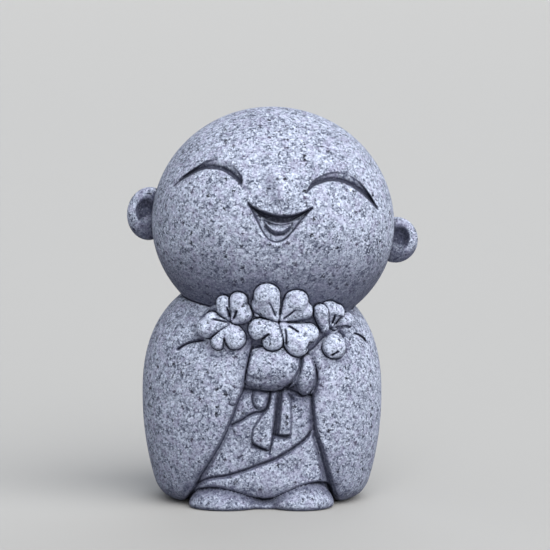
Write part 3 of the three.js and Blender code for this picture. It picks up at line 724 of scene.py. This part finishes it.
def head(x, y, z):
    u, v, w = to_head(x, y, z)
    h = head_egg(u, v, w)
    wash_and_painted_light = np.zeros_like(h)
    spot = np.flatnonzero((np.abs(h) < 5) & (v < -0.06 * HEAD_HALF[1]) & (w > -8) & (w < 16))
    front = facing(v[spot], HEAD_HALF[1])
    h[spot] -= front * face.at(u[spot], w[spot])
    wash_and_painted_light[spot] = front * face.at(u[spot], w[spot], "wash_and_painted_light")
    for side in (-1, 1):
        spot = np.flatnonzero((side * u > 17) & (np.abs(w) < 9))
        lobe = ear(u[spot], v[spot], w[spot], side)
        h[spot], wash_and_painted_light[spot] = lay((h[spot], wash_and_painted_light[spot]), lobe, CARVING_FILLET, 0.6)
    return h, wash_and_painted_light


def bouquet(x, y, z, behind):
    # The wall behind the petals gets a little painted shade.
    behind = lay(behind, (wall(x, y, z), 0.15), NECK_FILLET)
    behind = behind[0] - gap_sheet.at(x, z), np.maximum(behind[1], gap_sheet.at(x, z, "wash_and_painted_light"))
    # Petals carry painted light, and their seams are darkened with wash and painted shade.
    bloom = np.full(len(x), OUTSIDE), WIPED_AND_LIT
    for lobes in petals:
        petal = lobe(lobes[0], x, y, z)
        for other in lobes[1:]:
            petal = join(petal, lobe(other, x, y, z), LOBE_FILLET)
        bloom = lay(bloom, (petal, WIPED_AND_LIT), PETAL_FILLET, 1.0, 0.16)
    # The creases are darkened with wash and painted shade.
    creases = crease_sheet.at(x, z, "wash_and_painted_light")
    bloom_wash_and_light = np.where(creases > 0.1, np.maximum(bloom[1], creases), bloom[1])
    bloom = bloom[0] - crease_sheet.at(x, z), bloom_wash_and_light
    return lay(behind, bloom, PETAL_FILLET, 1.0, 0.2)

# %% The stone
back_seams = Sheet((-26, -2), (26, 46))
SEAM = [(9.6, 32.3), (11.5, 21.8), (14.2, 9.6), (15.1, 1.3)]
for side in (-1, 1):
    cut(back_seams, [(side * x, z) for x, z in SEAM], 0.45, 0.35)


def stone(x, y, z):
    """Distance to the stone, and the wash and painted light on it, for many places at once."""
    d = body_egg(x, y, z)
    wash_and_painted_light = np.zeros_like(d)
    near = np.abs(d) < 6
    spot = np.flatnonzero(near & (y < -0.06 * BODY_HALF[1]))
    d[spot], wash_and_painted_light[spot] = robe_front(x[spot], y[spot], z[spot], d[spot])
    spot = np.flatnonzero(near & (y > 0.06 * BODY_HALF[1]))
    back = facing(-y[spot], BODY_HALF[1])
    d[spot] -= back * back_seams.at(x[spot], z[spot])
    wash_and_painted_light[spot] = back * back_seams.at(x[spot], z[spot], "wash_and_painted_light")
    d, wash_and_painted_light = lay((d, wash_and_painted_light), head(x, y, z), NECK_FILLET, 0.9, 0.25)

    aside, above = np.abs(x - BOUQUET_MIDDLE[0]), np.abs(z - BOUQUET_MIDDLE[1])
    spot = np.flatnonzero((y < -0.22 * BODY_HALF[1]) & (aside < 22) & (above < 11) & (d < 8))
    d[spot], wash_and_painted_light[spot] = bouquet(x[spot], y[spot], z[spot], (d[spot], wash_and_painted_light[spot]))
    d = -join(-d, z, UNDERSIDE_ROUNDING)
    spot = np.flatnonzero((z < 8) & (y < -5) & (y > -20) & (np.abs(x) < 18))
    px, py, pz = x[spot], y[spot], z[spot]
    feet = np.full(len(spot), OUTSIDE)
    for (cx, cy, cz), half in FEET:
        feet = join(feet, ellipsoid(px - cx, py - cy, pz - cz, half), FEET_FILLET)
    feet = -join(-feet, pz, FEET_ROUNDING)
    d[spot], wash_and_painted_light[spot] = lay((d[spot], wash_and_painted_light[spot]), (feet, 0), CARVING_FILLET, 0.7)
    return d, wash_and_painted_light

# %% [markdown]
# ## From function to mesh
# Asking the function at every point of a fine grid would take minutes, and nearly all of them are
# far from the surface. So a coarse grid is asked first, and only the places that the surface may
# cross are asked again at half the step, twice. Wherever inside meets outside and wasn't asked yet,
# as under the steep upper lip, it is asked once more. OpenVDB then turns the grid into faces.
# Where a crease runs out between two petals it can leave a bubble too small to see. The casting is
# one piece of stone, so only the largest connected skin is kept.

# %% Sample the stone
VOXEL = 0.2
ASKED_AT_ONCE = 400000
LEVELS = 3
LOW = np.array([-28.0, -24.0, -1.1])
SHAPE = (np.array([33.0, 21.5, 78.0]) - LOW) // (VOXEL * 2 ** (LEVELS - 1)) + 2


def beside_surface(values):
    """The places with a neighbour on the other side of the surface."""
    inside_stone = values < 0
    beside = np.zeros(values.shape, bool)
    for axis in range(3):
        flips = np.diff(inside_stone.swapaxes(0, axis), axis=0)
        rows = beside.swapaxes(0, axis)
        rows[1:] |= flips
        rows[:-1] |= flips
    return beside


def sample_stone():
    """The stone's distances on a grid, exact near its surface."""
    step = VOXEL * 2 ** (LEVELS - 1)
    values = np.zeros([int(n) for n in SHAPE], np.float32)
    wanted = np.ones(values.shape, bool)
    total = 0
    for level in range(LEVELS):
        asked = wanted.copy()
        for _ in range(3):
            spots = np.argwhere(wanted)
            total += len(spots)
            for part in np.array_split(spots, len(spots) // ASKED_AT_ONCE + 1):
                values[tuple(part.T)] = stone(*(part * step + LOW).T)[0]
            wanted = beside_surface(values) & ~asked
            asked |= wanted
            if not wanted.any():
                break
        if level < LEVELS - 1:
            wanted = asked & (np.abs(values) < 2.1 * step)
            for axis in range(3):
                values, wanted = np.repeat(values, 2, axis), np.repeat(wanted, 2, axis)
            step /= 2
    print("asked at", total, "of", values.size, "points")
    return values


volume = sample_stone()

# %% Mesh the stone
def largest_skin(count, corners):
    """True for every point of the largest connected skin."""
    label = np.arange(count)
    while True:
        lower = label.copy()
        np.minimum.at(lower, corners.ravel(), np.repeat(label[corners].min(axis=1), 3))
        lower = lower[lower]
        if (lower == label).all():
            return label == np.bincount(label).argmax()
        label = lower


grid = vdb.FloatGrid(background=3 * VOXEL)
grid.copyFromArray(np.clip(volume, -3 * VOXEL, 3 * VOXEL))
points, triangles, quads = grid.convertToPolygons(isovalue=0, adaptivity=0)
points = points * VOXEL + LOW
print(len(points), "points,", len(quads), "quads")

corners = np.vstack([quads[:, [0, 1, 2]], quads[:, [0, 2, 3]], triangles.reshape(-1, 3)]).astype(int)
kept = largest_skin(len(points), corners)
print("points in hidden bubbles, dropped:", int((~kept).sum()))
corners = (np.cumsum(kept) - 1)[corners[kept[corners[:, 0]]]]
points = points[kept]
mesh = bpy.data.meshes.new("monk")
mesh.from_pydata((points * MM).tolist(), [], corners.tolist())
monk = bpy.data.objects.new("monk", mesh)
bpy.context.scene.collection.objects.link(monk)

# %% Thin it out
TRIANGLES = 192000
PLAIN_WEIGHT = 0.02
CARVED_WASH_AND_SHADE = 0.1  # more wash and painted shade than this marks a place as carved
AROUND = 0.3
carved = np.zeros(len(points), bool)
for across, up in ((AROUND, AROUND), (-AROUND, AROUND), (AROUND, -AROUND), (-AROUND, -AROUND)):
    carved |= stone(*(points + (across, 0, up)).T)[1] > CARVED_WASH_AND_SHADE
plain = monk.vertex_groups.new(name="plain")
plain.add(np.flatnonzero(~carved).tolist(), 1.0, "REPLACE")
thin = monk.modifiers.new("thin", "DECIMATE")
thin.ratio = TRIANGLES / len(mesh.polygons)
thin.vertex_group = "plain"
thin.vertex_group_factor = PLAIN_WEIGHT
print(round(100 * float(carved.mean())), "% of the points lie in the carving")
skin = bpy.data.meshes.new_from_object(monk.evaluated_get(bpy.context.evaluated_depsgraph_get()))
monk.modifiers.clear()
monk.data = skin
bpy.data.meshes.remove(mesh)
skin.name = "monk"
skin.shade_smooth()
print(len(skin.polygons), "triangles")

# %% [markdown]
# ## The dark wash and the painted shade
# On the real piece a thin, nearly black blue wash was brushed over the stone and wiped off, so it
# stays where a cloth can't reach. The darkening here is that wash and painted shade together. It is
# measured for every point of the mesh: a step out along the normal should lead as far from the stone
# as the step is long, and in a crease it doesn't. Short steps find the creases, and long ones find the
# broad places that lie in shade, which get painted shade: under the chin, between the sleeves, under
# the blossoms. Faces that point down, the chest, the left of the nose and the ground in front get
# painted shade too, and the shoulders are kept free of it, as painted light where light falls on them.
# The chalked lines add their own wash and painted shade. All of it is stored on the mesh for the
# shader.

# %% Measure the creases
def read_vectors(collection, name):
    numbers = np.empty(3 * len(collection), np.float32)
    collection.foreach_get(name, numbers)
    return numbers.reshape(-1, 3).astype(float)


def store(name, numbers):
    layer = skin.attributes.new(name, "FLOAT", "POINT")
    layer.data.foreach_set("value", numbers.astype(np.float32))


CREASE_STEPS = {0.3: 0.9, 0.7: 0.5, 1.5: 0.3}  # how far out in mm, and how much it counts
PAINTED_SHADE_STEPS = {3.5: 0.6, 8: 0.6}
CHEST_SHADE = 0.18
NOSE_SHADE = 0.45
GROUND_SHADE = 0.12
PETAL_SHARE_OF_SHADE = 0.4  # petals stand out, so they take this share of the painted shade
NOSTRIL_HEIGHT = 8.8

place = read_vectors(skin.vertices, "co") / MM
normal = read_vectors(skin.vertex_normals, "vector")
crease = np.zeros(len(place))
painted_shade = np.zeros(len(place))
for total, steps in ((crease, CREASE_STEPS), (painted_shade, PAINTED_SHADE_STEPS)):
    for reach, weight in steps.items():
        clear = stone(*(place + reach * normal).T)[0] / reach
        total += weight * np.clip(1 - clear, 0, 1)

# Painted light: shoulders that face up are kept free of the painted shade.
on_shoulder = smooth(0.2, 0.9, normal[:, 2]) * smooth(22, 32, place[:, 2])
painted_shade = (painted_shade + CHEST_SHADE * smooth(44, 34, place[:, 2])) * (1 - on_shoulder)
# Painted shade to the left of the nose, where it turns away from the light.
u, v, w = to_head(*place.T)
w = w - NOSTRIL_HEIGHT
beside_nose = bell((u + 1.2 + 0.4 * w) / 1.8) * bell(w / 3.8) * (v < 0)
# Painted shade on faces that point down, stronger on the head, and near the ground in front.
faces_down = smooth(0.1, -0.6, normal[:, 2]) * np.where(place[:, 2] > 33, 0.6, 0.3)
near_ground = GROUND_SHADE * smooth(12, 2, place[:, 2]) * (place[:, 1] < -12)
wash_and_light_here = stone(*place.T)[1]
on_petal = smooth(0, 0.8 * WIPED_AND_LIT, wash_and_light_here)
# The petals, painted paler, take only a share of the painted shade.
painted_shade = (painted_shade + faces_down) * (1 - (1 - PETAL_SHARE_OF_SHADE) * on_petal)
store("painted_shade", painted_shade + near_ground + NOSE_SHADE * beside_nose)
store("stain_and_painted_light", wash_and_light_here)
store("crease", np.clip(crease, 0, 2))
print("carved points kept:", round(100 * float((wash_and_light_here > CARVED_WASH_AND_SHADE).mean())), "%")
print("crease: mean", round(float(crease.mean()), 3), "95%", round(float(np.quantile(crease, 0.95)), 2))

# %% [markdown]
# ## Writing shader maths
# A material is worked out from a few patterns, and long chains of Math nodes are hard to read. The
# small class below wraps a socket, so that an expression in Python adds the nodes it needs.

# %% A socket as a number
class Value:
    """A socket that can be added, multiplied and ramped like a number."""

    def __init__(self, finish, socket):
        self.finish, self.socket = finish, socket

    def math(self, operation, *others, clamp=False):
        settings = {"operation": operation, "use_clamp": clamp}
        return self.finish.add("ShaderNodeMath", settings, dict(enumerate((self, *others))))["Value"]

    def __add__(self, other):
        return self.math("ADD", other)

    def __sub__(self, other):
        return self.math("SUBTRACT", other)

    def __rsub__(self, other):
        return (self * -1).math("ADD", other)

    def __mul__(self, other):
        return self.math("MULTIPLY", other)

    __radd__ = __add__
    __rmul__ = __mul__

    def clamped(self):
        return self.math("ADD", 0, clamp=True)

    def ramp(self, start, end):
        """0 below one value and 1 above the other, with soft ends."""
        settings = {"interpolation_type": "SMOOTHSTEP"}
        sockets = {"Value": self, "From Min": start, "From Max": end}
        return self.finish.add("ShaderNodeMapRange", settings, sockets)["Result"]


class Outputs:
    """A node's outputs, by name."""

    def __init__(self, finish, node):
        self.finish, self.node = finish, node

    def __getitem__(self, name):
        return Value(self.finish, self.node.outputs[name])

# %% A material that adds its own nodes
class Finish:
    """A material, and one way to add a node to it."""

    def __init__(self, name):
        self.material = bpy.data.materials.new(name)
        self.material.use_nodes = True
        self.tree = self.material.node_tree
        self.tree.nodes.clear()

    def add(self, kind, settings=None, sockets=None):
        node = self.tree.nodes.new(kind)
        for key, setting in (settings or {}).items():
            setattr(node, key, setting)
        for key, given in (sockets or {}).items():
            if isinstance(given, Value):
                self.tree.links.new(given.socket, node.inputs[key])
            else:
                node.inputs[key].default_value = given
        return Outputs(self, node)

    def mix(self, factor, a, b):
        """A colour between two colours."""
        node = self.tree.nodes.new("ShaderNodeMix")
        node.data_type = "RGBA"
        sockets = {s.identifier: s for s in node.inputs}
        for name, given in (("Factor_Float", factor), ("A_Color", a), ("B_Color", b)):
            if isinstance(given, Value):
                self.tree.links.new(given.socket, sockets[name])
            else:
                sockets[name].default_value = given
        return Value(self, next(s for s in node.outputs if s.identifier == "Result_Color"))


# %% [markdown]
# ## The stone's finish
# Seen close, cast stone is a crowd of grains about half a millimetre wide: most are a middle blue
# grey, some nearly white and some nearly black, bound by a paler paste. Cells of a Voronoi pattern
# make the grains, a random number for each cell makes its tone, and a finer noise breaks up their
# edges. A few of the larger cells are air pits, which filled with wash. The same patterns drive the
# bump, so a dark grain is also a small hollow. Petals are paler: they were wiped cleaner, and they
# get painted light where light falls on them. Over it go the painted shade and the dark wash of the
# carving, with painted shade in it.

# %% Colours
def colour(r, g, b):
    """A colour from its screen values, 0 to 255, as the linear light that a shader needs."""
    return tuple(((c / 255 + 0.055) / 1.055) ** 2.4 for c in (r, g, b)) + (1,)


DARK_PASTE, PALE_PASTE = colour(56, 62, 82), colour(194, 204, 226)
PALE_GRAIN, DARK_GRAIN, PIT = colour(214, 220, 236), colour(38, 41, 56), colour(18, 20, 30)
# The last two colours are for painted shade and for the dark wash with painted shade in it.
LILAC, SHADE, WASH_AND_SHADE = colour(128, 121, 152), colour(58, 60, 83), colour(42, 45, 62)

# %% Patterns in the stone
stone_finish = Finish("cast_stone")
coordinates = stone_finish.add("ShaderNodeTexCoord")["Object"]
to_mm = {0: coordinates, "Scale": 1 / MM}
mm = stone_finish.add("ShaderNodeVectorMath", {"operation": "SCALE"}, to_mm)["Vector"]


def noise(scale, detail=2.0, roughness=0.5):
    sockets = {"Vector": mm, "Scale": scale, "Detail": detail, "Roughness": roughness}
    return stone_finish.add("ShaderNodeTexNoise", None, sockets)["Fac"]


def cells(scale):
    """How far it is to the middle of the nearest grain, and that grain's own random tone."""
    made = stone_finish.add("ShaderNodeTexVoronoi", None, {"Vector": mm, "Scale": scale})
    tone = stone_finish.add("ShaderNodeSeparateColor", None, {"Color": made["Color"]})["Red"]
    return made["Distance"], tone


def attribute(name):
    return stone_finish.add("ShaderNodeAttribute", {"attribute_name": name})["Fac"]

# %% Stone material
fine_distance, fine_tone = cells(3.2)
grain_distance, grain_tone = cells(1.9)
speck_distance, speck_tone = cells(1.2)
pit_distance, pit_tone = cells(0.62)
dust = noise(3.6, detail=3, roughness=0.7)
mottle = noise(0.16, detail=3)
patch = noise(0.6, detail=2)

tone = 0.6 * (fine_tone - 0.5) + 0.5 * (grain_tone - 0.5) + 1.6 * (dust - 0.5)
tone = tone + 0.55 * (patch - 0.5) + 0.4 * (mottle - 0.5)
stain_and_painted_light = attribute("stain_and_painted_light")
# Petals are made paler, as wiped stone and as painted light where light falls on them.
wiped_and_lit = stain_and_painted_light.ramp(0, WIPED_AND_LIT)
tone = tone * (1 + 0.15 * wiped_and_lit) + 0.18 * wiped_and_lit
specks = speck_tone.ramp(0.7, 0.74) * (1 - (speck_distance + 0.8 * (dust - 0.5)).ramp(0.18, 0.3))
fine_specks = grain_tone.ramp(0.8, 0.84) * (1 - (grain_distance + 0.5 * (dust - 0.5)).ramp(0.16, 0.3))
specks = (specks + 0.8 * fine_specks).clamped()
pits = pit_tone.ramp(0.68, 0.7) * (1 - (pit_distance + 1.1 * (dust - 0.5)).ramp(0.13, 0.24))
specks = specks.math("MAXIMUM", pits) * (1 - 0.4 * wiped_and_lit)
lights = fine_tone.ramp(0.84, 0.9) * (1 - fine_distance.ramp(0.25, 0.5))

paste = stone_finish.mix((tone + 0.5).clamped(), DARK_PASTE, PALE_PASTE)
paste = stone_finish.mix(0.6 * lights, paste, PALE_GRAIN)
paste = stone_finish.mix(0.85 * specks, paste, DARK_GRAIN)
paste = stone_finish.mix(0.8 * pits, paste, PIT)
paste = stone_finish.mix(0.3 * patch.ramp(0.5, 0.62), paste, LILAC)

# Painted shade, from the measure stored on the mesh.
shaded_paste = stone_finish.mix(0.75 * attribute("painted_shade").ramp(0.05, 0.7), paste, SHADE)
# The dark wash of the carving with painted shade in it: in the creases, the chalked lines and the
# seams.
amount = attribute("crease").ramp(0.6, 1.5) + stain_and_painted_light.math("MAXIMUM", 0)
grainy = amount + 1.5 * (dust - 0.5) + 0.3 * (grain_tone - 0.5)
wash_and_painted_light = grainy.ramp(0.4, 0.95) * amount.ramp(0, 0.2)
tinted = stone_finish.mix(0.97 * wash_and_painted_light, shaded_paste, WASH_AND_SHADE)

relief = 0.5 * (dust - 0.5) - 0.35 * specks - 0.5 * pits
relief = relief + 0.2 * (fine_tone - 0.5) - 0.25 * grain_distance
bump_sockets = {"Height": relief, "Strength": 0.85, "Distance": 0.3 * MM}
bump = stone_finish.add("ShaderNodeBump", None, bump_sockets)["Normal"]
rough = 0.86 + 0.12 * (grain_tone - 0.5)
stone_sockets = {"Base Color": tinted, "Roughness": rough, "Normal": bump, "Specular IOR Level": 0.22}
surface = stone_finish.add("ShaderNodeBsdfPrincipled", None, stone_sockets)["BSDF"]
stone_finish.add("ShaderNodeOutputMaterial", None, {"Surface": surface})
skin.materials.append(stone_finish.material)
print(len(stone_finish.tree.nodes), "nodes in the stone")

# %% [markdown]
# ## Floor and light
# The figurine stands on a plain pale floor. Far out it rises gently, like the paper sweep of a
# photo studio, so that no edge shows from low down. One large soft light hangs above and to the
# right, in front. Three weaker ones open the shadows from the front, from the other side and from
# behind, and a pale sky gives them a cool tone.

# %% Floor
FLOOR_HALF = 6  # in metres, like the rest of this cell
FLAT_RADIUS = 1.5
FLOOR_RISE = 0.04
FLOOR_SIDE = 41  # points along each side
span = np.linspace(-FLOOR_HALF, FLOOR_HALF, FLOOR_SIDE)
across, back = np.meshgrid(span, span, indexing="ij")
rise = FLOOR_RISE * np.maximum(0, np.hypot(across, back) - FLAT_RADIUS) ** 2
floor_points = np.stack([across, back, rise], axis=-1).reshape(-1, 3)
first = np.arange(FLOOR_SIDE - 1)[:, None] * FLOOR_SIDE + np.arange(FLOOR_SIDE - 1)
beyond = first + FLOOR_SIDE
floor_faces = np.stack([first, beyond, beyond + 1, first + 1], axis=-1).reshape(-1, 4)
floor_mesh = bpy.data.meshes.new("floor")
floor_mesh.from_pydata(floor_points.tolist(), [], floor_faces.tolist())
floor_mesh.shade_smooth()
floor = bpy.data.objects.new("floor", floor_mesh)
bpy.context.scene.collection.objects.link(floor)
floor_finish = Finish("pale_floor")
floor_sockets = {"Base Color": colour(160, 160, 159), "Roughness": 0.8}
floor_surface = floor_finish.add("ShaderNodeBsdfPrincipled", None, floor_sockets)["BSDF"]
floor_finish.add("ShaderNodeOutputMaterial", None, {"Surface": floor_surface})
floor_mesh.materials.append(floor_finish.material)

# %% Light
SUNS = {  # the direction that it stands in, its strength, its width in degrees and its tint
    "key": ((0.5, -0.8, 0.86), 5.1, 75, (1, 0.985, 0.96)),
    "front": ((0.1, -1.0, 0.2), 0.7, 60, (1, 1, 1)),
    "sky light": ((-0.7, -0.2, 1.0), 0.5, 80, (0.95, 0.97, 1)),
    "fill": ((0.25, 0.9, 0.4), 1.5, 70, (0.9, 0.94, 1)),
}
SKY_TINT = (0.8, 0.86, 1, 1)
SKY_STRENGTH = 0.2
for name, (towards, energy, angle, tint) in SUNS.items():
    sun = bpy.data.lights.new(name, "SUN")
    sun.energy, sun.angle, sun.color = energy, math.radians(angle), tint
    holder = bpy.data.objects.new(name, sun)
    holder.rotation_euler = (-Vector(towards)).to_track_quat("-Z", "Y").to_euler()
    bpy.context.scene.collection.objects.link(holder)

sky = bpy.data.worlds.new("sky")
sky.use_nodes = True
background = sky.node_tree.nodes["Background"]
background.inputs["Color"].default_value = SKY_TINT
background.inputs["Strength"].default_value = SKY_STRENGTH
bpy.context.scene.world = sky
bpy.context.scene.view_settings.view_transform = "Standard"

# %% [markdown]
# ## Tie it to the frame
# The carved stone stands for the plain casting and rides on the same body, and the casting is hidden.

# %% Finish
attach(monk, "root")
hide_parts("monk_figurine")
print(len(SUNS), "suns over", floor.name)
